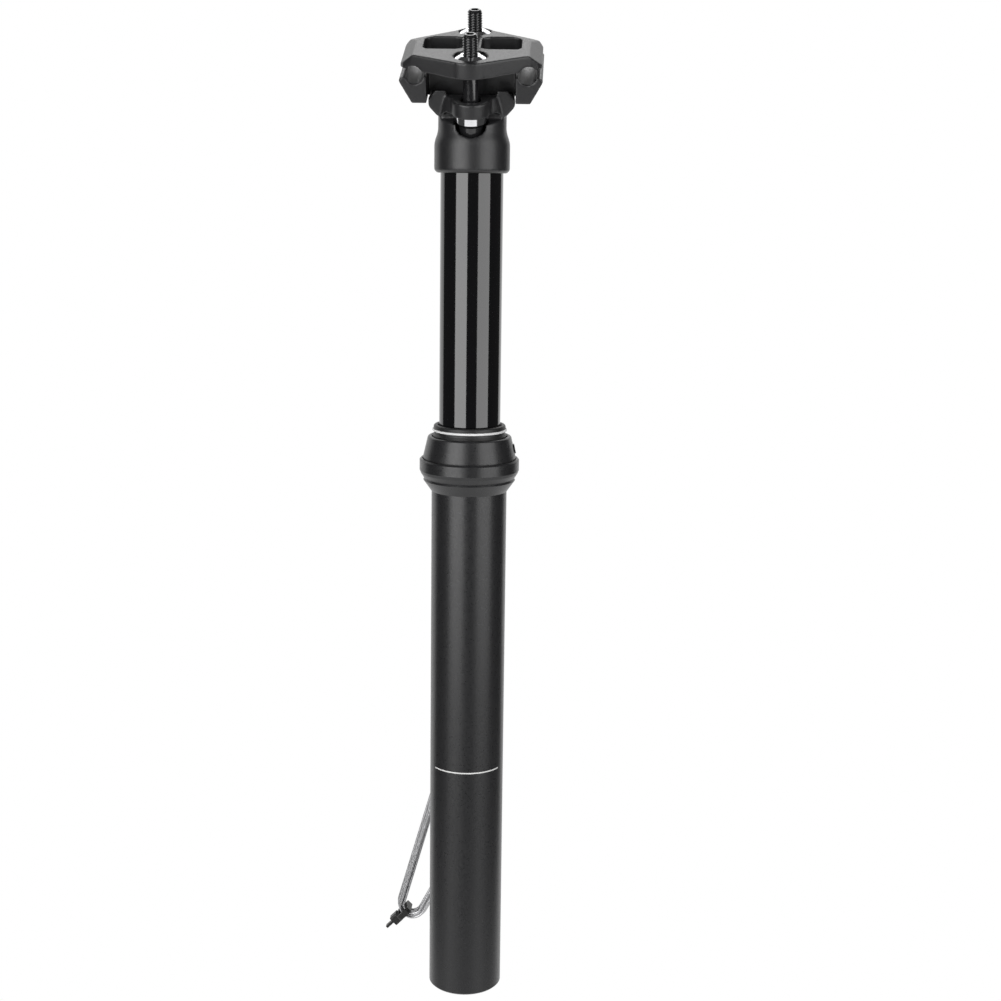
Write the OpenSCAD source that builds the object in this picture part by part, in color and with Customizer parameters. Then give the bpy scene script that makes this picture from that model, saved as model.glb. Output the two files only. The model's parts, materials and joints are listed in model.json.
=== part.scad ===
// Dropper seatpost: sliding post with a two-bolt saddle clamp, a release collar and a wound-up release wire.
// The origin is the centre of the lower tube's end, where its full diameter starts.
// +Z goes up the post and -Y to the front.

/* [Lower tube] */
// Outside diameter of the lower tube, which goes into the frame
post_d = 30.9; // [29.8:0.1:34]
// Wall of the lower tube
tube_wall = 1.75; // [1.5:0.05:2.2]
// Length of the lower tube below the collar
tube_l = 217.7; // [200:0.1:320]
// Distance that the post can drop
travel = 100; // [60:1:120]
// Width of a guide key
key_w = 3; // [2:0.1:4]
// Depth of a keyway in the tube's bore
keyway_depth = 0.8; // [0.5:0.05:0.9]

/* [Collar] */
// Height of the cone at the foot of the collar
cone_h = 5.1; // [4:0.1:8]
// Height of the collar's widest ring
ring_h = 8.3; // [8:0.1:12]
// Diameter of the collar's widest ring
ring_d = 40.8; // [40:0.1:44]
// Diameter of the cap where it sits in the ring
cap_foot_d = 38; // [37:0.1:38.2]
// Diameter of the cap's rim
cap_rim_d = 34.4; // [34:0.1:36]
// Height of the cap above the ring
cap_h = 9.3; // [8.5:0.1:14]
// Height of the wiper above the cap
wiper_h = 4.7; // [4.5:0.1:7]
// Outside diameter of the wiper's lip
wiper_d = 29.4; // [28.6:0.1:30]

/* [Stanchion] */
// Outside diameter of the inner tube
stanchion_d = 25; // [24:0.1:25.2]
// Wall of the inner tube
stanchion_wall = 2; // [1.6:0.1:2.4]
// Length of inner tube that stays inside the lower tube
overlap_l = 85; // [80:1:100]
// Height of the lower bushing
bushing_h = 15; // [10:0.5:20]
// Height of the upper bushing
upper_bushing_h = 30; // [20:0.5:36]

/* [Head] */
// Diameter of the sleeve at the foot of the head
sleeve_d = 30; // [29.5:0.1:32]
// Height of the sleeve
sleeve_h = 11; // [10.5:0.1:12]
// Width of the neck above the sleeve
neck_d = 27; // [26:0.1:29]
// Height of the clamp's tilt axis above the foot of the head
pivot_h = 42.5; // [42:0.1:44]
// Nose-down angle of the clamp against the post
clamp_tilt = 20.5; // [17:0.5:22]
// Width of the head over its cheeks
cheek_w = 33.8; // [32:0.1:34.4]
// Radius of an ear round its bolt
ear_r = 7.6; // [7.4:0.1:9]

/* [Saddle clamp] */
// Diameter of the saddle rails
rail_d = 7; // [7:0.1:8]
// Distance between the two saddle rails
rail_spacing = 43.4; // [42:0.1:45]
// Width of the clamp
clamp_w = 55.2; // [54.6:0.1:58]
// Length of the rail grooves
groove_l = 35; // [32:0.5:40]
// Length of the clamp plate over its noses
plate_l = 52; // [50.6:0.1:54]
// Thickness of the clamp plate
plate_h = 6.1; // [5.8:0.1:6.6]
// Radius of the rocker under the cradle
rocker_r = 14; // [13.6:0.1:14.2]

/* [Bolts] */
// Distance between the two clamp bolts
bolt_spacing = 33.6; // [33:0.1:35]
// Thread diameter of the clamp bolts
bolt_d = 5.9; // [5:0.1:6]
// Diameter of the bolt heads
bolt_head_d = 9.5; // [9:0.1:10]
// Height of the bolt heads
bolt_head_h = 5; // [4:0.1:5.2]
// Diameter of the bright washers
washer_d = 12; // [11:0.1:12.4]
// Thickness of the bright washers
washer_h = 2.9; // [2:0.1:3.1]
// Diameter of the half-ball nuts
nut_ball_d = 12.4; // [12:0.1:12.8]

/* [Gas spring] */
// Outside diameter of the spring's cylinder
gas_d = 17; // [15:0.1:18]
// Wall of the spring's cylinder
gas_wall = 1.5; // [1:0.1:2]
// Diameter of the spring's rod
rod_d = 8; // [6:0.1:9]

/* [Release] */
// Distance of the lever's pivot behind the post's axis
lever_y = 26; // [25.8:0.1:27]
// Length of the lever from its pivot to the wire
lever_l = 11; // [10.5:0.1:13]
// Thickness of the lever
lever_w = 4.4; // [4:0.1:5]
// Diameter of the lock plunger
plunger_d = 6; // [5:0.1:6.2]

/* [Wire] */
// Diameter of the release wire
wire_d = 1.2; // [1.2]
// Distance from turn to turn of the hank
hank_pitch = 1.75; // [1.75]
// Layers of the hank
hank_layers = 4; // [4]
// Turns of the hank in a layer
layer_turns = 1.75; // [1.75]

/* [Hidden] */
$fn = 64;

// Clearances: running fits, bonded fits, loose gaps, and a length that takes a cut clean through
run_gap = 0.1;
bond_gap = 0.03;
loose_gap = 0.3;
through = 1;

// Colours
anodised = "#1c1c1e";
forged = "#242426";
polished = "#0d0d0f";
steel = "#c9cbd0";
black_steel = "#202022";
rubber = "#191919";
plastic = "#e8e6df";
brass = "#b5924c";

// Lower tube and collar heights
tube_r = post_d / 2;
bore_r = tube_r - tube_wall;
stanchion_r = stanchion_d / 2;
ring_z = tube_l + cone_h;
ring_top = ring_z + ring_h;
tube_top = ring_z - 1;
tube_step = 0.4;
cap_top = ring_top + cap_h;
wiper_top = cap_top + wiper_h;
lip_depth = 1.1;
upstand_h = 4.4;
upstand_r = 15.8;
wiper_body_r = wiper_d / 2 + 0.4;
groove_z = cap_top + 2.5;
ring_section = 1;

// Stanchion and head heights
head_gap = 0.5;
head_z = wiper_top + travel + head_gap;
socket_depth = 9.5;
spigot_l = 25;
stanchion_top = head_z + socket_depth;
stanchion_bottom = tube_l - overlap_l;
stanchion_bore_r = stanchion_r - stanchion_wall;
spigot_r = stanchion_bore_r - bond_gap;
bushing_z = stanchion_bottom + 2;
key_h = 12;
key_z = bushing_z + bushing_h + 3;
key_sink = 0.6;
key_angles = [30, 150, 270];

// Gas spring and lower end
plug_z = 3;
plug_h = 13;
bumper_h = 6;
gas_r = gas_d / 2;
gas_bore_r = gas_r - gas_wall;
gas_top = head_z - spigot_l;
gas_stud_r = 4;
gas_stud_l = 10;
gas_bottom = stanchion_bottom + 10;
guide_h = 7;
piston_h = 8;
piston_z = gas_bottom + guide_h + 1;
rod_bolt_r = 2.5;
rod_bolt_l = 14;
snap_h = 1.2;
snap_depth = 0.7;

// Head and clamp, in the clamp's own tilted frame
pivot_z = head_z + pivot_h;
bolt_y = bolt_spacing / 2;
ear_top = -9.3;
ear_bottom = -15.2;
cheek_top = -6.4;
cheek_h = 11.2;
cheek_wide = 7.2;
cheek_l = 25.6;
cup_r = rocker_r + loose_gap;
head_seat = ear_bottom - washer_h;
bolt_swing_z = head_seat - loose_gap;
bolt_tip = 16;
plate_z = 1.6;
plate_top = plate_z + plate_h;
nut_z = plate_top - 0.9;
nut_r = nut_ball_d / 2;
nut_seat_r = nut_r + loose_gap;
boss_out_r = nut_seat_r + 1.1;
plate_front = plate_l - bolt_y - boss_out_r;
rail_r = rail_d / 2;
rail_x = rail_spacing / 2;
split = 0.8;
block_in = cheek_w / 2 + 0.3;
block_bottom = -10.9;
plate_w = clamp_w - 0.6;
web_l = 14;

// Release lever at the back of the collar
lever_z = ring_z + 4;
cam_r = 4.4;
cam_offset = [-0.4, 1.6];
cam_gap = 0.05;
pivot_pin_r = 2;
plate_gap = 0.3;
plate_t = 3.7;
plate_in = lever_w / 2 + plate_gap;
plate_out = plate_in + plate_t;
plunger_r = plunger_d / 2;
plunger_end = lever_y + cam_offset[0] - cam_r - cam_gap;
pad_t = 2.2;
wire_y = lever_y + lever_l;
nipple_r = 2;
boss_r = 4.6;
boss_z = ring_z - 8;
boss_h = 4.5;
adjuster_r = 2.5;
adjuster_bore_r = 0.95;
adjuster_top = boss_z + boss_h + 1;
adjuster_head_r = 4;
adjuster_head_h = 8;
adjuster_nut_h = 2.6;
adjuster_bottom = boss_z - adjuster_nut_h - adjuster_head_h;
spring_recess = 2;
spring_r = 2.95;
spring_wire_r = 0.28;
spring_turns = 2;

// Wire: the hank is a belt round a small and a large arc, in a plane behind the tube
wire_r = wire_d / 2;
hank_tip = [-26, 18];
hank_angle = 68;
hank_span = 62;
tip_r = 3.65;
top_r = 10;
hank_y = 36;
hank_turns = hank_layers * layer_turns - 0.25;
rings_per_turn = 24;
belt_angle = asin((top_r - tip_r) / hank_span);
hank_top = hank_tip + hank_span * [cos(hank_angle), sin(hank_angle)];
end_l = 4;
end_cap_l = 10;
end_cap_r = 1.1;
lead_in = 5.5;
lead_top = [0, wire_y, adjuster_bottom + lead_in];
// The lead's points below the adjuster were chosen by hand
lead_points = [
    [0, 37, 190],
    [0, 37, 175],
    [-0.5, 37, 160],
    [-1.5, 37, 145],
    [-3.5, 36.8, 130],
    [-6, 36.5, 115],
    [-9, 36.2, 100]
];

// Small shapes that repeat

module rounded_square(w, h, r) {
    square([w - 2 * r, h], center = true);
    square([w, h - 2 * r], center = true);
    for (x = [-1, 1], y = [-1, 1])
        translate([x * (w / 2 - r), y * (h / 2 - r)])
            circle(r);
}

module ring(r_out, r_in, h) {
    difference() {
        cylinder(r = r_out, h = h);
        translate([0, 0, -through])
            cylinder(r = r_in, h = h + 2 * through);
    }
}

// Puts its children in the clamp's frame: the tilt axis is X, and the plate's normal is Z
module clamp_frame() {
    translate([0, 0, pivot_z])
        rotate([clamp_tilt, 0, 0])
            children();
}

// Extrudes a Y-Z outline along X, centred
module along_x(w) {
    rotate([90, 0, 90])
        linear_extrude(height = w, center = true)
            children();
}

// Extrudes an X-Z outline along Y, centred
module along_y(l) {
    rotate([90, 0, 0])
        linear_extrude(height = l, center = true)
            children();
}

// Tube swept along a list of points, with rings square to the path
function unit(v) = v / norm(v);
function heading(p, i) = unit(p[min(i + 1, len(p) - 1)] - p[max(i - 1, 0)]);
function across(t) = unit(cross(t, [0, 1, 0]));
function sweep_ring(c, t, r, n) =
    let (a = across(t), b = cross(a, t))
    [for (k = [0:n - 1]) c + r * (cos(360 * k / n) * a + sin(360 * k / n) * b)];

module swept_tube(path, r, n) {
    last = len(path) - 1;
    rings = [for (i = [0:last]) sweep_ring(path[i], heading(path, i), r, n)];
    corners = [for (g = rings) each g];
    start_fan = [for (k = [1:n - 2]) [0, k + 1, k]];
    end_fan = [for (k = [1:n - 2]) [last * n, last * n + k, last * n + k + 1]];
    sides = [
        for (i = [0:last - 1], k = [0:n - 1])
            let (a = i * n + k, b = i * n + (k + 1) % n)
            each [[a, b, a + n], [b, b + n, a + n]]
    ];
    polyhedron(points = corners, faces = concat(start_fan, sides, end_fan));
}

// Lower body

module outer_tube() {
    color(anodised)
        difference() {
            rotate_extrude()
                polygon([
                    [bore_r, 0], [bore_r + 0.6, -0.6], [tube_r - 0.6, -0.6], [tube_r, 0],
                    [tube_r, tube_l], [tube_r - tube_step, tube_l], [tube_r - tube_step, tube_top],
                    [bore_r, tube_top]
                ]);
            for (a = key_angles)
                rotate(a)
                    translate([0, -key_w / 2 - run_gap, -through])
                        cube([bore_r + keyway_depth, key_w + 2 * run_gap, key_z + key_h + loose_gap + through]);
            translate([0, 0, plug_z - snap_h])
                cylinder(r = bore_r + snap_depth, h = snap_h);
        }
}

module lug() {
    difference() {
        union() {
            along_x(2 * plate_out) {
                translate([stanchion_r + 4, tube_l])
                    square([lever_y + 5 - stanchion_r - 4, lever_z - tube_l]);
                translate([cap_foot_d / 2 + loose_gap, tube_l])
                    square([lever_y - cap_foot_d / 2 - loose_gap, ring_top - tube_l]);
                translate([lever_y, lever_z])
                    circle(5);
            }
            translate([0, wire_y, boss_z])
                cylinder(r = boss_r, h = boss_h);
            translate([-boss_r, lever_y, tube_l])
                cube([2 * boss_r, lever_l, boss_z + boss_h - tube_l]);
        }
        // Slot for the lever, above the lug's floor
        translate([-plate_in, ring_d / 2, boss_z + boss_h])
            cube([2 * plate_in, 30, 30]);
        translate([0, lever_y, lever_z])
            rotate([0, 90, 0])
                cylinder(r = pivot_pin_r + bond_gap, h = 40, center = true);
        translate([0, wire_y, boss_z - through])
            cylinder(r = adjuster_r + bond_gap, h = boss_h + 2 * through);
    }
}

module collar_housing() {
    color(anodised)
        difference() {
            union() {
                rotate_extrude()
                    polygon([
                        [0, tube_l], [tube_r + 0.2, tube_l], [ring_d / 2 - 1.55, ring_z - 0.6],
                        [ring_d / 2 - 1.95, ring_z], [ring_d / 2 - 1.7, ring_z + 0.4],
                        [ring_d / 2 - 0.5, ring_z + 2.3], [ring_d / 2, ring_z + 3.6], [ring_d / 2, ring_top - 0.6],
                        [ring_d / 2 - 0.5, ring_top], [cap_foot_d / 2 + loose_gap, ring_top],
                        [cap_foot_d / 2 + loose_gap, ring_top - lip_depth], [upstand_r, ring_top - lip_depth],
                        [upstand_r, ring_top + upstand_h], [0, ring_top + upstand_h]
                    ]);
                lug();
            }
            // Seat of the lower tube, passage of the stanchion and bore of the plunger
            translate([0, 0, tube_l - through])
                cylinder(r = tube_r - tube_step + bond_gap, h = tube_top - tube_l + through);
            translate([0, 0, tube_l])
                cylinder(r = stanchion_r + 0.4, h = 40);
            translate([0, 0, lever_z])
                rotate([-90, 0, 0])
                    cylinder(r = plunger_r + 0.05, h = lever_y - cam_r);
        }
}

module collar_cap() {
    rim_r = 1;
    color(anodised)
        difference() {
            union() {
                translate([0, 0, ring_top])
                    rotate_extrude() {
                        polygon([
                            [upstand_r + run_gap, bond_gap - lip_depth], [cap_foot_d / 2, bond_gap - lip_depth], [cap_foot_d / 2, 0.6],
                            [cap_rim_d / 2 - 0.03, cap_h - rim_r + 0.23],
                            [cap_rim_d / 2 - rim_r, cap_h], [wiper_body_r + 0.6, cap_h],
                            [wiper_body_r + run_gap, cap_h - 1.6], [wiper_body_r + run_gap, upstand_h + run_gap],
                            [upstand_r + run_gap, upstand_h + run_gap]
                        ]);
                        translate([cap_rim_d / 2 - rim_r, cap_h - rim_r])
                            circle(rim_r);
                    }
                // Pad for the set screw
                set_screw_place()
                    translate([0, 0, -2])
                        cylinder(r = 2, h = 2.4);
            }
            set_screw_place()
                translate([0, 0, -1.6])
                    cylinder(r = 1.5 + bond_gap, h = 4);
        }
}

// The set screw's place on the right of the cap: Z points out of the cap
module set_screw_place() {
    translate([0, 0, ring_top + cap_h * 0.42])
        rotate([0, 0, 4])
            translate([cap_rim_d / 2 + 1.1, 0, 0])
                rotate([0, 78, 0])
                    children();
}

module collar_set_screw() {
    color(black_steel)
        set_screw_place()
            difference() {
                translate([0, 0, -1.6])
                    cylinder(r = 1.5, h = 1.5);
                translate([0, 0, -1])
                    cylinder(r = 0.85, h = 2, $fn = 6);
            }
}

module dust_wiper() {
    color(rubber)
        rotate_extrude()
            difference() {
                union() {
                    polygon([
                        [stanchion_r + run_gap, ring_top + upstand_h + bond_gap],
                        [wiper_body_r, ring_top + upstand_h + bond_gap],
                        [wiper_body_r, cap_top + 0.2], [wiper_d / 2 - 0.1, cap_top + 1.1],
                        [wiper_d / 2 - 0.3, groove_z - 0.7], [wiper_d / 2, groove_z - 0.4],
                        [wiper_d / 2, wiper_top - 0.9],
                        [wiper_d / 2 - 0.9, wiper_top], [wiper_d / 2 - 1.2, wiper_top],
                        [stanchion_r + run_gap, wiper_top - 1.8]
                    ]);
                    translate([wiper_d / 2 - 0.9, wiper_top - 0.9])
                        circle(0.9);
                }
                translate([wiper_d / 2 + 0.1, groove_z])
                    circle(ring_section / 2 + bond_gap);
            }
}

module wiper_ring() {
    color(steel)
        rotate_extrude()
            translate([wiper_d / 2 + 0.1, groove_z])
                circle(ring_section / 2);
}

module upper_bushing() {
    color(plastic)
        translate([0, 0, tube_top - upper_bushing_h])
            ring(bore_r - bond_gap, stanchion_r + run_gap, upper_bushing_h);
}

module bottom_plug() {
    color(black_steel)
        translate([0, 0, plug_z])
            difference() {
                cylinder(r = bore_r - bond_gap, h = plug_h);
                translate([0, 0, -through])
                    cylinder(r = 5.3, h = 5 + through);
                cylinder(r = rod_bolt_r + bond_gap, h = plug_h);
                translate([0, 0, plug_h - 3])
                    cylinder(r = rod_d / 2 + bond_gap, h = 3 + through);
            }
}

module snap_ring() {
    color(steel)
        translate([0, 0, plug_z - snap_h + bond_gap])
            difference() {
                ring(bore_r + snap_depth - bond_gap, bore_r - 2, snap_h - 2 * bond_gap);
                translate([-2.5, 0, -through])
                    cube([5, bore_r + 2, snap_h + 2 * through]);
            }
}

module bottom_bumper() {
    color(rubber)
        translate([0, 0, plug_z + plug_h])
            ring(bore_r - loose_gap, rod_d / 2 + loose_gap, bumper_h);
}

module gas_spring_rod() {
    foot = plug_z + plug_h - 3;
    color(steel)
        translate([0, 0, foot])
            difference() {
                cylinder(r = rod_d / 2, h = piston_z - foot);
                translate([0, 0, -through])
                    cylinder(r = rod_bolt_r + bond_gap, h = rod_bolt_l + through);
            }
}

module gas_spring_piston() {
    color(brass)
        translate([0, 0, piston_z])
            difference() {
                cylinder(r = gas_bore_r - run_gap, h = piston_h);
                translate([0, 0, piston_h / 2])
                    ring(gas_bore_r + 1, gas_bore_r - 1, 1.6);
            }
}

module rod_bolt() {
    color(black_steel)
        translate([0, 0, plug_z + 5])
            difference() {
                union() {
                    translate([0, 0, -4])
                        cylinder(r = 5, h = 4);
                    cylinder(r = rod_bolt_r, h = rod_bolt_l);
                }
                translate([0, 0, -5])
                    cylinder(r = 2.9, h = 3.6, $fn = 6);
            }
}

module lever_pivot_pin() {
    color(steel)
        translate([0, lever_y, lever_z])
            rotate([0, 90, 0])
                cylinder(r = pivot_pin_r, h = 2 * plate_out, center = true);
}

module cable_adjuster() {
    knurl_count = 18;
    color(black_steel)
        translate([0, wire_y, 0])
            difference() {
                union() {
                    translate([0, 0, adjuster_bottom])
                        cylinder(r = adjuster_r, h = adjuster_top - adjuster_bottom);
                    translate([0, 0, adjuster_bottom + 1])
                        cylinder(r = adjuster_head_r, h = adjuster_head_h - 1);
                    translate([0, 0, adjuster_bottom])
                        cylinder(r1 = adjuster_r, r2 = adjuster_head_r, h = 1);
                }
                translate([0, 0, adjuster_bottom - through])
                    cylinder(r = adjuster_bore_r, h = adjuster_top - adjuster_bottom + 2 * through);
                for (i = [0:knurl_count - 1])
                    rotate(360 * i / knurl_count)
                        translate([adjuster_head_r + 0.3, 0, adjuster_bottom - through])
                            cylinder(r = 0.6, h = adjuster_head_h + through, $fn = 16);
            }
}

module adjuster_nut() {
    color(black_steel)
        translate([0, wire_y, boss_z - adjuster_nut_h])
            difference() {
                cylinder(r = 4.6, h = adjuster_nut_h, $fn = 6);
                translate([0, 0, -through])
                    cylinder(r = adjuster_r + bond_gap, h = adjuster_nut_h + 2 * through);
            }
}

// Release lever and lock

module release_lever() {
    end_r = 3.6;
    color(forged)
        translate([0, lever_y, lever_z])
            difference() {
                along_x(lever_w) {
                    translate(cam_offset)
                        circle(cam_r);
                    translate([0, -3.2])
                        square([lever_l, 6.4]);
                    translate([lever_l, 0])
                        circle(end_r);
                }
                rotate([0, 90, 0])
                    cylinder(r = pivot_pin_r + 0.06, h = 2 * lever_w, center = true);
                // Hole of the nipple, with a slot that lets the wire swing
                translate([0, lever_l, 0])
                    rotate([0, 90, 0])
                        cylinder(r = nipple_r + 0.5, h = 2 * lever_w, center = true);
                translate([-wire_r - loose_gap, lever_l - nipple_r - 0.3, -end_r - through])
                    cube([wire_d + 2 * loose_gap, 2 * end_r, end_r + through]);
                // Recess of the return spring
                translate([lever_w / 2 - spring_recess, 0, 0])
                    rotate([0, 90, 0])
                        cylinder(r = spring_r + 0.7, h = spring_recess + through);
            }
}

module lever_spring() {
    steps = 16;
    length = spring_recess - 2 * spring_wire_r - 0.4;
    path = [
        for (i = [0:spring_turns * steps])
            let (a = 360 * i / steps, s = i / (spring_turns * steps))
            [lever_w / 2 - spring_recess + 0.2 + spring_wire_r + s * length, spring_r * cos(a), spring_r * sin(a)]
    ];
    color(steel)
        translate([0, lever_y, lever_z])
            rotate([0, 0, 90])
                swept_tube([for (p = path) [p[1], -p[0], p[2]]], spring_wire_r, 6);
}

module cable_nipple() {
    stub_bottom = adjuster_bottom + lead_in + 3.6;
    color(steel)
        translate([0, wire_y, lever_z]) {
            rotate([0, 90, 0])
                cylinder(r = nipple_r, h = lever_w - 0.2, center = true);
            translate([0, 0, stub_bottom - lever_z])
                cylinder(r = wire_r, h = lever_z - stub_bottom);
        }
}

module lock_plunger() {
    color(steel)
        translate([0, stanchion_r + pad_t, lever_z])
            rotate([-90, 0, 0])
                cylinder(r = plunger_r, h = plunger_end - stanchion_r - pad_t);
}

module brake_pad() {
    color(brass)
        difference() {
            translate([0, stanchion_r - 1, lever_z])
                rotate([-90, 0, 0])
                    cylinder(r = plunger_r, h = pad_t + 1);
            translate([0, 0, lever_z - plunger_d])
                cylinder(r = stanchion_r + run_gap, h = 2 * plunger_d);
        }
}

// Sliding body

module stanchion() {
    color(polished)
        difference() {
            translate([0, 0, stanchion_bottom])
                ring(stanchion_r, stanchion_bore_r, stanchion_top - stanchion_bottom);
            for (a = key_angles)
                rotate(a)
                    translate([stanchion_r - key_sink, -key_w / 2, key_z])
                        cube([key_sink + through, key_w, key_h]);
        }
}

module lower_bushing() {
    color(plastic)
        translate([0, 0, bushing_z])
            ring(bore_r - run_gap, stanchion_r + bond_gap, bushing_h);
}

module guide_keys() {
    key_r = bore_r + keyway_depth - 2 * run_gap;
    color(brass)
        intersection() {
            translate([0, 0, key_z])
                cylinder(r = key_r, h = key_h);
            for (a = key_angles)
                rotate(a)
                    translate([stanchion_r - key_sink + bond_gap, -key_w / 2 + bond_gap, key_z + bond_gap])
                        cube([key_r, key_w - 2 * bond_gap, key_h - 2 * bond_gap]);
        }
}

module gas_spring_cylinder() {
    color(black_steel)
        difference() {
            union() {
                translate([0, 0, gas_bottom])
                    cylinder(r = gas_r, h = gas_top - gas_bottom);
                translate([0, 0, gas_top])
                    cylinder(r = gas_stud_r, h = gas_stud_l);
            }
            translate([0, 0, gas_bottom - through])
                cylinder(r = gas_bore_r, h = gas_top - gas_bottom - 4 + through);
        }
}

module rod_guide() {
    color(plastic)
        translate([0, 0, gas_bottom])
            ring(gas_bore_r - bond_gap, rod_d / 2 + run_gap, guide_h);
}

module seatpost_head() {
    color(forged)
        difference() {
            union() {
                difference() {
                    translate([0, 0, head_z])
                        rotate_extrude()
                            head_profile();
                    clamp_frame()
                        translate([-50, -50, ear_top])
                            cube([100, 100, 50]);
                }
                clamp_frame()
                    head_yoke();
            }
            translate([0, 0, gas_top - through])
                cylinder(r = gas_stud_r + bond_gap, h = gas_stud_l + loose_gap + through);
            clamp_frame()
                head_cuts();
        }
}

// Half section of the sleeve, the neck and the spigot inside the stanchion
module head_profile() {
    waist = (sleeve_d - neck_d) / 2;
    neck_top = pivot_h - 10;
    difference() {
        union() {
            translate([0, -spigot_l])
                square([spigot_r, spigot_l + sleeve_h]);
            polygon([
                [0, 0], [sleeve_d / 2 - 1.2, 0], [sleeve_d / 2, 1.2], [sleeve_d / 2, sleeve_h],
                [sleeve_d / 2 - waist * 0.2, sleeve_h + 1.6], [sleeve_d / 2 - waist * 0.8, sleeve_h + 4.2],
                [neck_d / 2, sleeve_h + 6], [neck_d / 2, neck_top], [0, neck_top]
            ]);
        }
        translate([spigot_r, -through])
            square([stanchion_r + bond_gap - spigot_r, socket_depth + bond_gap + through]);
    }
}

module head_yoke() {
    translate([0, 0, ear_bottom])
        linear_extrude(height = ear_top - ear_bottom) {
            square([2 * ear_r, bolt_spacing], center = true);
            for (y = [-bolt_y, bolt_y])
                translate([0, y])
                    circle(ear_r);
        }
    for (x = [-1, 1])
        along_y(cheek_l)
            polygon([
                [x * (cheek_w / 2 - cheek_wide), cheek_top], [x * (cheek_w / 2 - 3.4), cheek_top],
                [x * (cheek_w / 2 - 0.3), cheek_top - 3.6], [x * cheek_w / 2, cheek_top - 4.4],
                [x * cheek_w / 2, cheek_top - 6.8], [x * (cheek_w / 2 - 0.3), cheek_top - 7.6],
                [x * (cheek_w / 2 - 3.4), cheek_top - cheek_h], [x * (cheek_w / 2 - cheek_wide), cheek_top - cheek_h]
            ]);
}

module head_cuts() {
    rotate([0, 90, 0])
        cylinder(r = cup_r, h = 2 * cheek_w, center = true);
    // Slot across the neck under the front ear
    translate([0, -cheek_l / 2 - 20.5, 0])
        along_y(40)
            polygon([
                [-ear_r - 2.4, ear_bottom], [ear_r + 2.4, ear_bottom],
                [ear_r + 5.7, head_seat - 0.2], [-ear_r - 5.7, head_seat - 0.2]
            ]);
    for (y = [-bolt_y, bolt_y])
        translate([0, y, 0]) {
            translate([0, 0, ear_bottom - through])
                cylinder(r = bolt_d / 2 + 1.05, h = 20);
            translate([0, 0, head_seat])
                cylinder(r = washer_d / 2 + loose_gap, h = washer_h);
            translate([0, 0, bolt_swing_z - bolt_head_h - 0.7])
                cylinder(r = bolt_head_d / 2 + 1.8, h = bolt_head_h + 1.2);
        }
}

module washer(y) {
    clamp_frame()
        translate([0, y, head_seat])
            difference() {
                cylinder(r = washer_d / 2, h = washer_h);
                translate([0, 0, -through])
                    cylinder(r = bolt_d / 2 + 0.45, h = washer_h + 2 * through);
            }
}

module front_washer() {
    color(steel)
        washer(-bolt_y);
}

module rear_washer() {
    color(steel)
        washer(bolt_y);
}

// Saddle clamp

module clamp_cradle() {
    block_out = clamp_w / 2;
    color(forged)
        clamp_frame()
            difference() {
                union() {
                    for (x = [-1, 1])
                        along_y(groove_l)
                            polygon([
                                [x * block_in, -split], [x * (block_out - 0.8), -split], [x * block_out, -1.6],
                                [x * block_out, -2.6], [x * (block_out - 4.7), block_bottom],
                                [x * block_in, block_bottom]
                            ]);
                    translate([-block_in - 1, -web_l / 2, block_bottom + 0.9])
                        cube([2 * block_in + 2, web_l, -split - block_bottom - 0.9]);
                    intersection() {
                        rotate([0, 90, 0])
                            cylinder(r = rocker_r, h = cheek_w - 0.8, center = true);
                        translate([-cheek_w, -web_l / 2, -rocker_r])
                            cube([2 * cheek_w, web_l, rocker_r - split]);
                    }
                }
                for (x = [-rail_x, rail_x])
                    translate([x, 0, 0])
                        rotate([90, 0, 0])
                            cylinder(r = rail_r, h = 2 * groove_l, center = true);
                // Weight-saving window through the web
                translate([0, 0, -2 * rocker_r])
                    linear_extrude(height = 2 * rocker_r)
                        rounded_square(cheek_w - 2 * cheek_wide, web_l - 6, 3);
            }
}

// Plan of the clamp plate: a round nose in front and the boss of the rear nut behind
module plate_plan() {
    nose_r = 9.5;
    nose_y = plate_front - nose_r;
    side = plate_w / 2;
    translate([0, -nose_y])
        circle(nose_r);
    translate([0, bolt_y])
        circle(boss_out_r);
    polygon([
        for (q = [[1, 1], [-1, 1], [-1, -1], [1, -1]])
            let (
                tip = q[1] < 0 ? nose_y + nose_r * 0.88 : bolt_y + 2,
                out = [[side, 12], [side - 1.2, 14.2], [side - 4.6, 16.6], [nose_r * 0.45, tip]],
                n = len(out) - 1
            )
            each [for (i = [0:n]) let (p = out[q[0] * q[1] > 0 ? i : n - i]) [q[0] * p[0], q[1] * p[1]]]
    ]);
}

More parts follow.
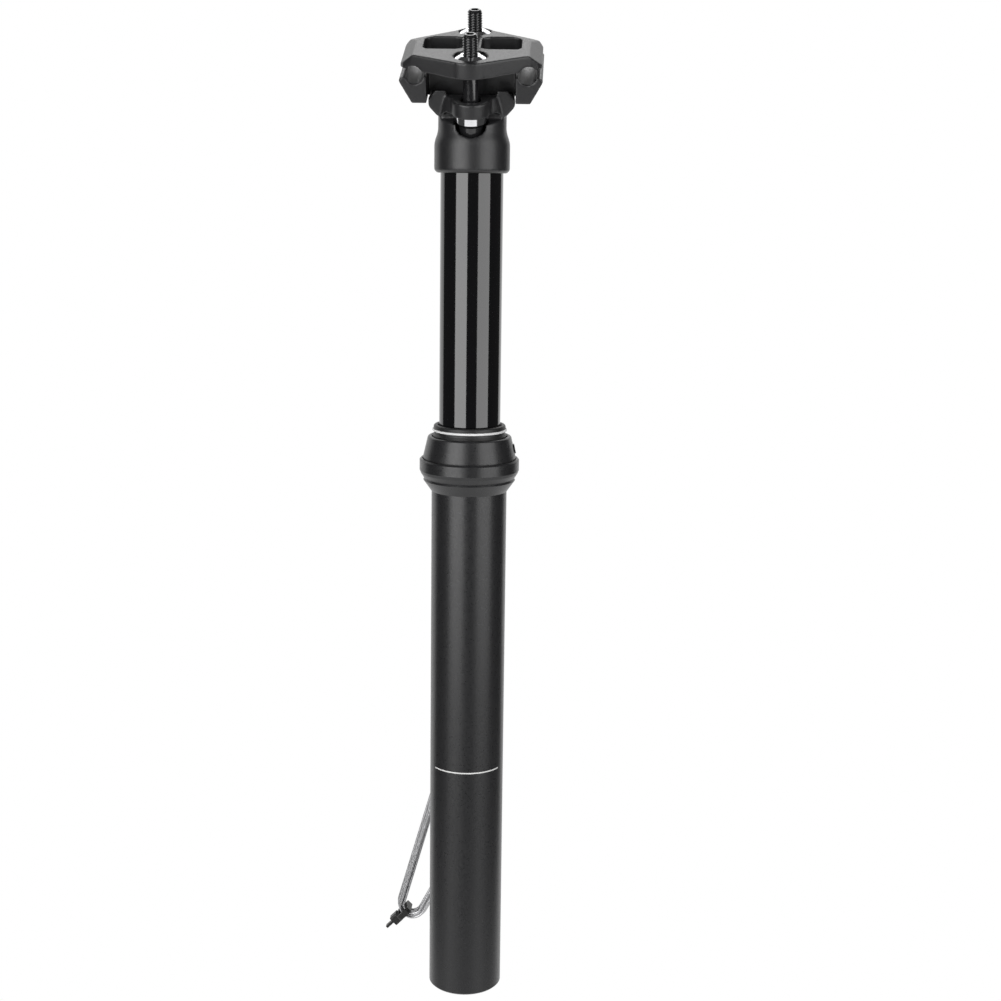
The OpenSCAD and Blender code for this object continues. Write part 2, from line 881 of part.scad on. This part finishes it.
module clamp_plate() {
    block_z = plate_z - 0.2;
    window_w = 15.5;
    window_l = 16;
    front_edge = plate_front - 1.1;
    edge_angle = 27;
    edge_slope = 50;
    rib_w = 7;
    color(forged)
        clamp_frame()
            difference() {
                union() {
                    intersection() {
                        translate([0, 0, -5])
                            linear_extrude(height = 20)
                                plate_plan();
                        along_y(2 * plate_l)
                            polygon([
                                [-8.6, block_z], [-12, plate_z],
                                [-plate_w / 2 - 1, plate_z], [-plate_w / 2 - 1, plate_z + 0.5],
                                [-plate_w / 2 + 4.6, plate_top - 0.4], [-plate_w / 2 + 5.4, plate_top],
                                [plate_w / 2 - 5.4, plate_top], [plate_w / 2 - 4.6, plate_top - 0.4],
                                [plate_w / 2 + 1, plate_z + 0.5], [plate_w / 2 + 1, plate_z],
                                [12, plate_z], [8.6, block_z]
                            ]);
                    }
                }
                // The back corners slope down
                for (m = [0, 1])
                    mirror([m, 0, 0])
                        translate([boss_out_r - 1, bolt_y, plate_top])
                            rotate([0, 0, -42])
                                rotate([-15.8, 0, 0])
                                    translate([-50, 0, 0])
                                        cube([100, 40, 20]);
                for (x = [-rail_x, rail_x])
                    translate([x, 0, 0])
                        rotate([90, 0, 0])
                            cylinder(r = rail_r, h = 2 * plate_l, center = true);
                // Soft edge along the top of the front
                for (x = [-1, 1])
                    translate([0, -front_edge, plate_top])
                        rotate([0, 0, x * edge_angle])
                            rotate([-edge_slope, 0, 0])
                                translate([-50, -20, 0])
                                    cube([100, 20, 20]);
                // Two windows, cut back round the bolt bosses
                for (x = [-1, 1])
                    translate([0, 0, -through])
                        linear_extrude(height = 20)
                            difference() {
                                translate([x * (rib_w + window_w) / 2, 0])
                                    rounded_square(window_w, window_l, 3);
                                for (y = [-bolt_y, bolt_y])
                                    translate([0, y])
                                        circle(nut_seat_r + 4.4);
                            }
                for (y = [-bolt_y, bolt_y])
                    translate([0, y, 0]) {
                        translate([0, 0, nut_z]) {
                            sphere(r = nut_seat_r);
                            cylinder(r = nut_seat_r, h = 10);
                        }
                        translate([0, 0, -2 * through])
                            cylinder(r = bolt_d / 2 + 1.6, h = 20);
                    }
            }
}

// Clamp bolts and nuts, drawn on their own axis

module clamp_bolt(y) {
    color(black_steel)
        clamp_frame()
            translate([0, y, 0])
                difference() {
                    union() {
                        translate([0, 0, bolt_swing_z - 1])
                            cylinder(r = bolt_d / 2, h = bolt_tip - bolt_swing_z + 0.2);
                        translate([0, 0, bolt_tip - 0.8])
                            cylinder(r1 = bolt_d / 2, r2 = bolt_d / 2 - 0.8, h = 0.8);
                        // Domed seat, so that the bolt can swing under the washer
                        intersection() {
                            translate([0, 0, bolt_swing_z - bolt_head_h])
                                cylinder(r = bolt_head_d / 2, h = bolt_head_h);
                            translate([0, 0, bolt_swing_z - 1.2 * bolt_head_d])
                                sphere(r = 1.2 * bolt_head_d);
                        }
                    }
                    translate([0, 0, bolt_tip - 3])
                        cylinder(r = 1.75, h = 4, $fn = 6);
                    translate([0, 0, bolt_swing_z - bolt_head_h - through])
                        cylinder(r = 2.9, h = 3 + through, $fn = 6);
                }
}

module clamp_nut(y) {
    color(steel)
        clamp_frame()
            translate([0, y, nut_z])
                difference() {
                    union() {
                        difference() {
                            sphere(r = nut_r);
                            translate([-nut_r, -nut_r, 0])
                                cube([2 * nut_r, 2 * nut_r, 2 * nut_r]);
                        }
                        cylinder(r1 = nut_r, r2 = bolt_d / 2 + 0.9, h = 1.2);
                    }
                    translate([0, 0, -nut_r - 2.4])
                        cube([2 * nut_r, 2 * nut_r, 8], center = true);
                    cylinder(r = bolt_d / 2 + 0.05, h = 4 * nut_r, center = true);
                }
}

module front_bolt() {
    clamp_bolt(-bolt_y);
}

module rear_bolt() {
    clamp_bolt(bolt_y);
}

module front_nut() {
    clamp_nut(-bolt_y);
}

module rear_nut() {
    clamp_nut(bolt_y);
}

// Release wire

// Distance from the innermost turn: it starts at the outside and swings in and out, layer by layer
function hank_offset(t) =
    let (s = t / layer_turns, layer = floor(s), f = s - layer)
    hank_pitch * layer_turns * (layer % 2 == 0 ? 1 - f : f);

// Layer at turn t: the wire climbs in the half turn round each reversal
function hank_layer(t) =
    let (n = round(t / layer_turns), d = t - n * layer_turns)
    n < 1 ? 0 : n > hank_layers - 1 ? hank_layers - 1 : n - 0.5 + min(max(2 * d, -0.5), 0.5);

function hank_dir(a) = [cos(hank_angle + a), sin(hank_angle + a)];

// Point on the belt at fraction f of a turn: down the left leg, round the tip, up, and over the top
function belt_point(f, o) =
    let (
        left = 90 + belt_angle,
        right = 270 - belt_angle,
        a = 4 / rings_per_turn,
        b = 11 / rings_per_turn,
        c = 15 / rings_per_turn,
        tip = tip_r + o,
        top = top_r + o
    )
    f < a ? let (s = f / a) (1 - s) * (hank_top + top * hank_dir(left)) + s * (hank_tip + tip * hank_dir(left)) :
    f < b ? hank_tip + tip * hank_dir(left + (right - left) * (f - a) / (b - a)) :
    f < c ? let (s = (f - b) / (c - b))
        (1 - s) * (hank_tip + tip * hank_dir(right)) + s * (hank_top + top * hank_dir(right)) :
    hank_top + top * hank_dir(right + (360 + left - right) * (f - c) / (1 - c));

function hank_point(i) =
    let (t = i / rings_per_turn, p = belt_point(t - floor(t), hank_offset(t)))
    [p[0], hank_y - hank_pitch * hank_layer(t), p[1]];

hank_steps = round(hank_turns * rings_per_turn);
hank_loops = [for (i = [0:hank_steps]) hank_point(i)];
hank_in = unit(hank_loops[1] - hank_loops[0]);
hank_out = unit(hank_loops[hank_steps] - hank_loops[hank_steps - 1]);
hank_start = hank_loops[0] - 2 * wire_d * hank_in;
hank_end = hank_loops[hank_steps] + end_l * hank_out;
hank_path = concat([hank_start], hank_loops, [hank_end]);
lead_path = concat([lead_top, [0, wire_y, adjuster_bottom]], lead_points, [hank_start - 5 * hank_in, hank_start]);

function path_length(p) =
    let (steps = [for (i = [1:len(p) - 1]) norm(p[i] - p[i - 1])])
    steps * [for (s = steps) 1];

// Least clear distance between stretches of the hank that lie at least half a turn apart
half_turn = rings_per_turn / 2;
hank_gap = min([
    for (i = [0:hank_steps - half_turn], j = [i + half_turn:hank_steps])
        norm(hank_loops[i] - hank_loops[j])
]) - wire_d;
echo(hank_least_gap = hank_gap);
echo(wire_length = path_length(lead_path) + path_length(hank_path) + end_cap_l);

module cable_lead() {
    color(steel)
        swept_tube(lead_path, wire_r, 8);
}

module cable_hank() {
    color(steel)
        swept_tube(hank_path, wire_r, 6);
}

// Tie round the strands at the hank's tip
module cable_tie() {
    tie_angle = 225;
    band_t = 1;
    band_w = 2.6;
    spread = hank_pitch * layer_turns;
    depth = hank_pitch * (hank_layers - 1);
    in_w = spread + wire_d + 2 * loose_gap;
    in_l = depth + wire_d + 2 * loose_gap;
    color("#1a1a1a")
        translate([hank_tip[0], hank_y - depth / 2, hank_tip[1]])
            rotate([0, -tie_angle, 0])
                translate([tip_r + spread / 2, 0, 0]) {
                    linear_extrude(height = band_w, center = true)
                        difference() {
                            rounded_square(in_w + 2 * band_t, in_l + 2 * band_t, 1.2);
                            square([in_w, in_l], center = true);
                        }
                    translate([in_w / 2 + band_t + 1.7, 0, 0])
                        along_x(3.8)
                            rounded_square(4.2, 4.4, 0.6);
                    translate([in_w / 2 + band_t + 5.4, 0, 0])
                        cube([5, 2.4, 1.1], center = true);
                }
}

module cable_end_cap() {
    turn = atan2(hank_out[0], hank_out[2]);
    color("#9a9ca2")
        translate(hank_end)
            rotate([0, turn, 0])
                cylinder(r = end_cap_r, h = end_cap_l);
}

outer_tube();
collar_housing();
collar_cap();
collar_set_screw();
dust_wiper();
wiper_ring();
upper_bushing();
bottom_plug();
snap_ring();
bottom_bumper();
gas_spring_rod();
gas_spring_piston();
rod_bolt();
lever_pivot_pin();
cable_adjuster();
adjuster_nut();
cable_lead();
cable_hank();
cable_tie();
cable_end_cap();
release_lever();
lever_spring();
cable_nipple();
lock_plunger();
brake_pad();
stanchion();
lower_bushing();
guide_keys();
gas_spring_cylinder();
rod_guide();
seatpost_head();
front_washer();
rear_washer();
clamp_cradle();
clamp_plate();
front_bolt();
front_nut();
rear_bolt();
rear_nut();
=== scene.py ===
import json
import math

import bpy
from mathutils import Matrix, Vector


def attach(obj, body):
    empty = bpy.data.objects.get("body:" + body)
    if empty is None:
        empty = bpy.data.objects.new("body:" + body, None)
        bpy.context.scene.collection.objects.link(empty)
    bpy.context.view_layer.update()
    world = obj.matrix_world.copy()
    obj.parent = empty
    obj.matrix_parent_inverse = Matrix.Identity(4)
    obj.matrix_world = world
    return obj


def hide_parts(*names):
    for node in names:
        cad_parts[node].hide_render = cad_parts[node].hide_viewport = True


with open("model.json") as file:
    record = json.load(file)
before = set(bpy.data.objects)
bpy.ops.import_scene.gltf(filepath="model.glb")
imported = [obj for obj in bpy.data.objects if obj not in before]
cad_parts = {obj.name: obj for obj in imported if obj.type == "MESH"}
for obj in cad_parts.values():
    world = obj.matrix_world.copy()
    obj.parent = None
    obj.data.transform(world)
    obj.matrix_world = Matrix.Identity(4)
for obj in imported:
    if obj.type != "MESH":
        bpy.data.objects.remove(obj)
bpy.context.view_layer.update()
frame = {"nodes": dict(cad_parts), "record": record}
nodes = frame["nodes"]
scene = bpy.context.scene
scene.view_settings.view_transform = "Standard"

MM = 0.001

# Camera, worked out from the photo
CAMERA_MM = (13.0, -659.0, 347.4)
CAMERA_DOWN = 11.5
CAMERA_ROLL = 0.75
CAMERA_YAW = 2.0
LENS = 58.62

# Clamp frame of the CAD: tilt axis and nose-down angle
PIVOT_Z = 388.1
CLAMP_TILT = 20.5


def add_camera():
    data = bpy.data.cameras.new("photo_camera")
    data.lens = LENS
    data.sensor_width = 36.0
    data.clip_start = 0.01
    camera = bpy.data.objects.new("photo_camera", data)
    scene.collection.objects.link(camera)
    place = Matrix.Translation(Vector(CAMERA_MM) * MM)
    pitch = Matrix.Rotation(math.radians(90 - CAMERA_DOWN), 4, "X")
    roll = Matrix.Rotation(math.radians(CAMERA_ROLL), 4, "Z")
    yaw = Matrix.Rotation(math.radians(CAMERA_YAW), 4, "Z")
    camera.matrix_world = yaw @ place @ pitch @ roll
    scene.camera = camera


add_camera()


def mesh_object(name, verts, faces, smooth=True):
    mesh = bpy.data.meshes.new(name)
    mesh.from_pydata([tuple(v) for v in verts], [], faces)
    mesh.validate()
    mesh.update()
    if smooth:
        mesh.polygons.foreach_set("use_smooth", [True] * len(mesh.polygons))
    obj = bpy.data.objects.new(name, mesh)
    scene.collection.objects.link(obj)
    return obj


# Materials

GRAIN_DEPTH = 0.0002
GRAIN_DETAIL = 4.0
GRAIN_LOW, GRAIN_HIGH = 0.3, 0.7
LEAST_ROUGH = 0.02


def material(
    name, colour, rough, metallic=0.0, grain=900.0, bump=0.05, spread=0.06, specular=0.5, tint=0.12
):
    """Principled material with fine procedural grain in its colour, roughness and bump."""
    mat = bpy.data.materials.new(name)
    mat.use_nodes = True
    tree = mat.node_tree
    shader = tree.nodes["Principled BSDF"]
    shader.inputs["Metallic"].default_value = metallic
    shader.inputs["Specular IOR Level"].default_value = specular
    coords = tree.nodes.new("ShaderNodeTexCoord")
    noise = tree.nodes.new("ShaderNodeTexNoise")
    noise.inputs["Scale"].default_value = grain
    noise.inputs["Detail"].default_value = GRAIN_DETAIL
    tree.links.new(coords.outputs["Object"], noise.inputs["Vector"])
    ramp = tree.nodes.new("ShaderNodeMapRange")
    ramp.inputs["From Min"].default_value = GRAIN_LOW
    ramp.inputs["From Max"].default_value = GRAIN_HIGH
    ramp.inputs["To Min"].default_value = max(rough - spread, LEAST_ROUGH)
    ramp.inputs["To Max"].default_value = rough + spread
    tree.links.new(noise.outputs["Fac"], ramp.inputs["Value"])
    tree.links.new(ramp.outputs["Result"], shader.inputs["Roughness"])
    mix = tree.nodes.new("ShaderNodeMix")
    mix.data_type = "RGBA"
    mix.inputs[6].default_value = (*[c * (1 - tint) for c in colour], 1)
    mix.inputs[7].default_value = (*[min(c * (1 + tint), 1) for c in colour], 1)
    tree.links.new(noise.outputs["Fac"], mix.inputs[0])
    tree.links.new(mix.outputs[2], shader.inputs["Base Color"])
    lift = tree.nodes.new("ShaderNodeBump")
    lift.inputs["Strength"].default_value = bump
    lift.inputs["Distance"].default_value = GRAIN_DEPTH
    tree.links.new(noise.outputs["Fac"], lift.inputs["Height"])
    tree.links.new(lift.outputs["Normal"], shader.inputs["Normal"])
    return mat


MATERIALS = {
    "anodised": material("anodised", (0.016, 0.016, 0.017), 0.32, grain=1400, bump=0.10, specular=0.55),
    "polished_black": material(
        "polished_black", (0.003, 0.003, 0.0035), 0.07, bump=0.01, spread=0.02, specular=0.9
    ),
    "forged": material("forged", (0.014, 0.014, 0.015), 0.38, grain=1800, bump=0.2, specular=0.6),
    "black_alloy": material("black_alloy", (0.018, 0.018, 0.019), 0.34, grain=1500, bump=0.10),
    "black_steel": material(
        "black_steel", (0.012, 0.012, 0.013), 0.16, bump=0.03, spread=0.04, specular=0.8
    ),
    "steel": material("steel", (0.60, 0.61, 0.63), 0.24, metallic=1.0, bump=0.04),
    "bright": material(
        "bright", (0.82, 0.82, 0.84), 0.08, metallic=1.0, bump=0.01, spread=0.03, tint=0.03
    ),
    "wire": material("wire", (0.52, 0.52, 0.53), 0.34, metallic=0.9, bump=0.05),
    "rubber": material("rubber", (0.013, 0.013, 0.013), 0.45, grain=700, bump=0.08),
    "plastic": material("plastic", (0.72, 0.71, 0.68), 0.5, grain=600, bump=0.05),
    "black_plastic": material("black_plastic", (0.016, 0.016, 0.016), 0.4, grain=800, bump=0.08),
    "brass": material("brass", (0.55, 0.40, 0.16), 0.3, metallic=1.0, bump=0.04),
}
PALE_RING = material("pale_ring", (0.80, 0.80, 0.80), 0.42, grain=2000, bump=0.04, tint=0.04)
INK = material("white_ink", (0.78, 0.78, 0.77), 0.5, grain=2500, bump=0.03, tint=0.05)


def paint(obj, mat):
    obj.data.materials.clear()
    obj.data.materials.append(mat)


for part in frame["record"]["subparts"]:
    paint(nodes[part["node"]], MATERIALS[part["material_slot"]])

paint(nodes["wiper_ring"], PALE_RING)


def finish_piece(obj, body, slot, *replaced):
    paint(obj, MATERIALS[slot])
    if replaced:
        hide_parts(*replaced)
    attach(obj, body)


# Release wire: the route of part.scad, with finer steps

WIRE_D = 1.2
HANK_TIP = (-26.0, 18.0)
HANK_ANGLE = 68.0
HANK_SPAN = 62.0
TIP_R, TOP_R = 3.65, 10.0
HANK_Y = 36.0
HANK_PITCH = 1.75
HANK_LAYERS, LAYER_TURNS = 4, 1.75
HANK_TURNS = HANK_LAYERS * LAYER_TURNS - 0.25
STEPS = 96
END_L = 4.0
APPROACH_L = 5.0
START_L = 2 * WIRE_D
WIRE_TOP = (0.0, 37.0, 209.7)
LEAD_POINTS = [
    (0, 37, 204.2), (0, 37, 190), (0, 37, 175), (-0.5, 37, 160), (-1.5, 37, 145),
    (-3.5, 36.8, 130), (-6, 36.5, 115), (-9, 36.2, 100),
]
# Shares of a turn at which the first leg, the tip and the second leg of the hank end
LEG_END, TIP_END, RETURN_END = 4 / 24, 11 / 24, 15 / 24
BELT_ANGLE = math.degrees(math.asin((TOP_R - TIP_R) / HANK_SPAN))


def polar(angle, radius):
    a = math.radians(HANK_ANGLE + angle)
    return Vector((radius * math.cos(a), radius * math.sin(a)))


HANK_TOP = Vector(HANK_TIP) + polar(0, HANK_SPAN)


def hank_offset(t):
    layer = math.floor(t / LAYER_TURNS)
    f = t / LAYER_TURNS - layer
    return HANK_PITCH * LAYER_TURNS * (1 - f if layer % 2 == 0 else f)


def hank_layer(t):
    n = round(t / LAYER_TURNS)
    d = t - n * LAYER_TURNS
    if n < 1:
        return 0
    if n > HANK_LAYERS - 1:
        return HANK_LAYERS - 1
    return n - 0.5 + min(max(2 * d, -0.5), 0.5)


def belt_point(f, o):
    left, right = 90 + BELT_ANGLE, 270 - BELT_ANGLE
    a, b, c = LEG_END, TIP_END, RETURN_END
    tip, top = TIP_R + o, TOP_R + o
    tip_c = Vector(HANK_TIP)
    if f < a:
        return (HANK_TOP + polar(left, top)).lerp(tip_c + polar(left, tip), f / a)
    if f < b:
        return tip_c + polar(left + (right - left) * (f - a) / (b - a), tip)
    if f < c:
        return (tip_c + polar(right, tip)).lerp(HANK_TOP + polar(right, top), (f - b) / (c - b))
    return HANK_TOP + polar(right + (360 + left - right) * (f - c) / (1 - c), top)


def hank_point(t):
    p = belt_point(t - math.floor(t), hank_offset(t))
    return Vector((p[0], HANK_Y - HANK_PITCH * hank_layer(t), p[1]))


def wire_route():
    loops = [hank_point(i / STEPS) for i in range(round(HANK_TURNS * STEPS) + 1)]
    into = (loops[1] - loops[0]).normalized()
    out = (loops[-1] - loops[-2]).normalized()
    start = loops[0] - START_L * into
    lead = [Vector(WIRE_TOP)] + [Vector(p) for p in LEAD_POINTS] + [start - APPROACH_L * into, start]
    return lead + loops + [loops[-1] + END_L * out]


def smooth_route(points, rounds=2):
    """Rounds the corners of a route and keeps its ends."""
    for _ in range(rounds):
        cut = [points[0]]
        for a, b in zip(points, points[1:]):
            cut += [a.lerp(b, 0.25), a.lerp(b, 0.75)]
        points = cut + [points[-1]]
    return points


def tube(name, route, radius, sides=10):
    verts, faces = [], []
    last = len(route) - 1
    for i, p in enumerate(route):
        t = (route[min(i + 1, last)] - route[max(i - 1, 0)]).normalized()
        a = t.cross(Vector((0, 1, 0))).normalized()
        b = a.cross(t)
        for k in range(sides):
            q = 2 * math.pi * k / sides
            verts.append((p + radius * (math.cos(q) * a + math.sin(q) * b)) * MM)
    for i in range(last):
        for k in range(sides):
            a, b = i * sides + k, i * sides + (k + 1) % sides
            faces.append((a, b, b + sides, a + sides))
    faces.append(tuple(range(sides - 1, -1, -1)))
    faces.append(tuple(last * sides + k for k in range(sides)))
    return mesh_object(name, verts, faces)


def add_wire():
    raw = wire_route()
    lead_n = len(LEAD_POINTS) + 3
    route = smooth_route(raw[:lead_n]) + raw[lead_n:]
    wire = tube("release_wire", route, WIRE_D / 2)
    finish_piece(wire, "lower_post", "wire", "cable_lead", "cable_hank")


add_wire()

# Forged pieces: copies of the CAD with rounded edges

FORGING_VOXEL = 0.4
SOFTEN = 0.5


def rounded_copy(node, rounds, body):
    obj = bpy.data.objects.new(node + "_forging", nodes[node].data.copy())
    scene.collection.objects.link(obj)
    remesh = obj.modifiers.new("remesh", "REMESH")
    remesh.mode = "VOXEL"
    remesh.voxel_size = FORGING_VOXEL * MM
    remesh.use_smooth_shade = True
    soften = obj.modifiers.new("soften", "SMOOTH")
    soften.factor = SOFTEN
    soften.iterations = rounds
    bpy.context.view_layer.update()
    done = bpy.data.meshes.new_from_object(obj.evaluated_get(bpy.context.evaluated_depsgraph_get()))
    obj.modifiers.clear()
    obj.data = done
    done.polygons.foreach_set("use_smooth", [True] * len(done.polygons))
    finish_piece(obj, body, "forged", node)


rounded_copy("seatpost_head", 14, "upper_post")
rounded_copy("clamp_cradle", 5, "saddle_clamp")
rounded_copy("clamp_plate", 6, "saddle_clamp")

# Clamp bolts with cut threads

BOLT_Y = 16.8
BOLT_R = 2.95
BOLT_TIP = 16.0
BOLT_SEAT = -18.4
HEAD_R, HEAD_H = 4.75, 5.0
DOME_R = 11.4
THREAD_PITCH, THREAD_DEPTH, THREAD_FROM = 1.0, 0.42, 2.0
THREAD_FADE, THREAD_STEP = 0.6, 0.125
TIP_BEVEL, HEAD_BEVEL = 0.8, 0.5
DOME_STEPS = 5
SHARP_ANGLE = 35
SOCKET_R, SOCKET_H = 1.75, 3.0
KEY_R = 2.9
SIDES = 48


def hex_radius(r):
    return lambda q: r * math.cos(math.pi / 6) / math.cos((q % (math.pi / 3)) - math.pi / 6)


def thread_radius(z):
    fade = min(max((z - THREAD_FROM) / THREAD_FADE, 0), 1)

    def radius(q):
        f = (z / THREAD_PITCH - q / (2 * math.pi)) % 1.0
        return BOLT_R - fade * THREAD_DEPTH * abs(2 * f - 1)

    return radius


def lathe(name, rings, place):
    """Closed surface round Z: each ring is a radius, or a radius by angle, and a height."""
    verts, faces = [], []
    for radius, z in rings:
        for k in range(SIDES):
            q = 2 * math.pi * k / SIDES
            r = radius(q) if callable(radius) else radius
            verts.append(place @ (Vector((r * math.cos(q), r * math.sin(q), z)) * MM))
    for i in range(len(rings) - 1):
        for k in range(SIDES):
            a, b = i * SIDES + k, i * SIDES + (k + 1) % SIDES
            faces.append((a, b, b + SIDES, a + SIDES))
    faces.append(tuple(range(SIDES - 1, -1, -1)))
    top = (len(rings) - 1) * SIDES
    faces.append(tuple(top + k for k in range(SIDES)))
    return mesh_object(name, verts, faces, smooth=False)


CLAMP = Matrix.Translation((0, 0, PIVOT_Z * MM)) @ Matrix.Rotation(math.radians(CLAMP_TILT), 4, "X")


def add_bolt(node, y, body):
    low = BOLT_SEAT - HEAD_H
    edge = BOLT_SEAT - DOME_R + math.sqrt(DOME_R**2 - HEAD_R**2)
    rings = [(hex_radius(KEY_R), low + SOCKET_H), (hex_radius(KEY_R), low)]
    rings += [(HEAD_R - HEAD_BEVEL, low), (HEAD_R, low + HEAD_BEVEL), (HEAD_R, edge)]
    for k in range(1, DOME_STEPS + 1):
        r = HEAD_R + (BOLT_R - HEAD_R) * k / DOME_STEPS
        rings.append((r, BOLT_SEAT - DOME_R + math.sqrt(DOME_R**2 - r * r)))
    rings.append((BOLT_R, THREAD_FROM))
    steps = round((BOLT_TIP - TIP_BEVEL - THREAD_FROM) / THREAD_STEP)
    for k in range(1, steps + 1):
        z = THREAD_FROM + THREAD_STEP * k
        rings.append((thread_radius(z), z))
    rings += [
        (BOLT_R - TIP_BEVEL, BOLT_TIP),
        (hex_radius(SOCKET_R), BOLT_TIP),
        (hex_radius(SOCKET_R), BOLT_TIP - SOCKET_H),
    ]
    obj = lathe(node + "_threaded", rings, CLAMP @ Matrix.Translation((0, y * MM, 0)))
    obj.data.set_sharp_from_angle(angle=math.radians(SHARP_ANGLE))
    obj.data.polygons.foreach_set("use_smooth", [True] * len(obj.data.polygons))
    finish_piece(obj, body, "black_steel", node)


add_bolt("front_bolt", -BOLT_Y, "front_bolt_body")
add_bolt("rear_bolt", BOLT_Y, "rear_bolt_body")

# White insertion line round the front of the lower tube

LINE_Z, LINE_H, LINE_LIFT = 100.0, 0.55, 0.02
LINE_FROM, LINE_TO = -55.0, 62.0
LINE_SINK, LINE_STEPS = 0.05, 64
TUBE_R = 15.45


def add_line():
    verts, faces = [], []
    for i in range(LINE_STEPS + 1):
        a = math.radians(LINE_FROM + (LINE_TO - LINE_FROM) * i / LINE_STEPS)
        for r in (TUBE_R - LINE_SINK, TUBE_R + LINE_LIFT):
            for z in (LINE_Z - LINE_H / 2, LINE_Z + LINE_H / 2):
                verts.append((r * math.sin(a) * MM, -r * math.cos(a) * MM, z * MM))
    for i in range(LINE_STEPS):
        a, b = 4 * i, 4 * i + 4
        for j, k in ((0, 1), (1, 3), (3, 2), (2, 0)):
            faces.append((a + j, b + j, b + k, a + k))
    faces.append((0, 1, 3, 2))
    end = 4 * LINE_STEPS
    faces.append((end, end + 2, end + 3, end + 1))
    obj = mesh_object("insertion_line", verts, faces, smooth=False)
    paint(obj, INK)
    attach(obj, "lower_post")


add_line()

# Studio: pale floor and backdrop, two tall soft boxes, one above behind and a dim room; metres

FLOOR_Z = -0.8
FLOOR = 1.5
BACK_Y = 1.2
BACK_X = (-2.3, 1.1)
BACK_TOP = 2.5
PALE = (0.8, 0.8, 0.8)
ROOM_GREY = 0.05
SIDE_AWAY, SIDE_H, SIDE_Z = 1.4, 1.8, 0.65
CLAMP_Z = 0.39


def stage_material(name, colour):
    mat = bpy.data.materials.new(name)
    mat.use_nodes = True
    tree = mat.node_tree
    tree.nodes.clear()
    out = tree.nodes.new("ShaderNodeOutputMaterial")
    mix = tree.nodes.new("ShaderNodeMixShader")
    diffuse = tree.nodes.new("ShaderNodeBsdfDiffuse")
    diffuse.inputs["Color"].default_value = (*colour, 1)
    glow = tree.nodes.new("ShaderNodeEmission")
    glow.inputs["Color"].default_value = (1, 1, 1, 1)
    glow.inputs["Strength"].default_value = 1.0
    path = tree.nodes.new("ShaderNodeLightPath")
    seen = None
    for ray in ("Is Camera Ray", "Is Glossy Ray", "Is Transmission Ray"):
        if seen is None:
            seen = path.outputs[ray]
            continue
        both = tree.nodes.new("ShaderNodeMath")
        both.operation = "MAXIMUM"
        tree.links.new(seen, both.inputs[0])
        tree.links.new(path.outputs[ray], both.inputs[1])
        seen = both.outputs[0]
    tree.links.new(seen, mix.inputs[0])
    tree.links.new(diffuse.outputs[0], mix.inputs[1])
    tree.links.new(glow.outputs[0], mix.inputs[2])
    tree.links.new(mix.outputs[0], out.inputs["Surface"])
    return mat


def add_stage():
    pale = stage_material("pale_stage", PALE)
    floor = mesh_object(
        "floor",
        [(x * FLOOR, y * FLOOR, FLOOR_Z) for x, y in ((-1, -1), (1, -1), (1, 1), (-1, 1))],
        [(0, 1, 2, 3)],
        smooth=False,
    )
    back = mesh_object(
        "backdrop",
        [
            (BACK_X[0], BACK_Y, FLOOR_Z),
            (BACK_X[1], BACK_Y, FLOOR_Z),
            (BACK_X[1], BACK_Y, BACK_TOP),
            (BACK_X[0], BACK_Y, BACK_TOP),
        ],
        [(0, 1, 2, 3)],
        smooth=False,
    )
    for obj in (floor, back):
        paint(obj, pale)


def soft_box(name, azimuth, distance, width, height, centre_z, watts, aim_z):
    """Area light hidden from the camera, at an azimuth from the front, aimed at the object's axis."""
    light = bpy.data.lights.new(name, "AREA")
    light.shape = "RECTANGLE"
    light.size = width
    light.size_y = height
    light.energy = watts
    obj = bpy.data.objects.new(name, light)
    scene.collection.objects.link(obj)
    a = math.radians(azimuth)
    obj.location = (distance * math.sin(a), -distance * math.cos(a), centre_z)
    aim = Vector((0, 0, aim_z)) - obj.location
    obj.rotation_euler = aim.to_track_quat("-Z", "Y").to_euler()
    obj.visible_camera = False


def add_world():
    world = bpy.data.worlds.new("room")
    scene.world = world
    world.use_nodes = True
    tree = world.node_tree
    background = tree.nodes["Background"]
    background.inputs["Strength"].default_value = 1.0
    path = tree.nodes.new("ShaderNodeLightPath")
    mix = tree.nodes.new("ShaderNodeMix")
    mix.data_type = "RGBA"
    mix.inputs[6].default_value = (ROOM_GREY, ROOM_GREY, ROOM_GREY, 1)
    mix.inputs[7].default_value = (1, 1, 1, 1)
    tree.links.new(path.outputs["Is Camera Ray"], mix.inputs[0])
    tree.links.new(mix.outputs[2], background.inputs["Color"])


add_stage()
soft_box("left_box", -33.6, SIDE_AWAY, 1.13, SIDE_H, SIDE_Z, 22, aim_z=SIDE_Z)
soft_box("right_box", 50.5, SIDE_AWAY, 1.20, SIDE_H, SIDE_Z, 16.5, aim_z=SIDE_Z)
soft_box("top_box", 180, 1.15, 1.2, 0.6, 1.26, 4.5, aim_z=CLAMP_Z)
add_world()
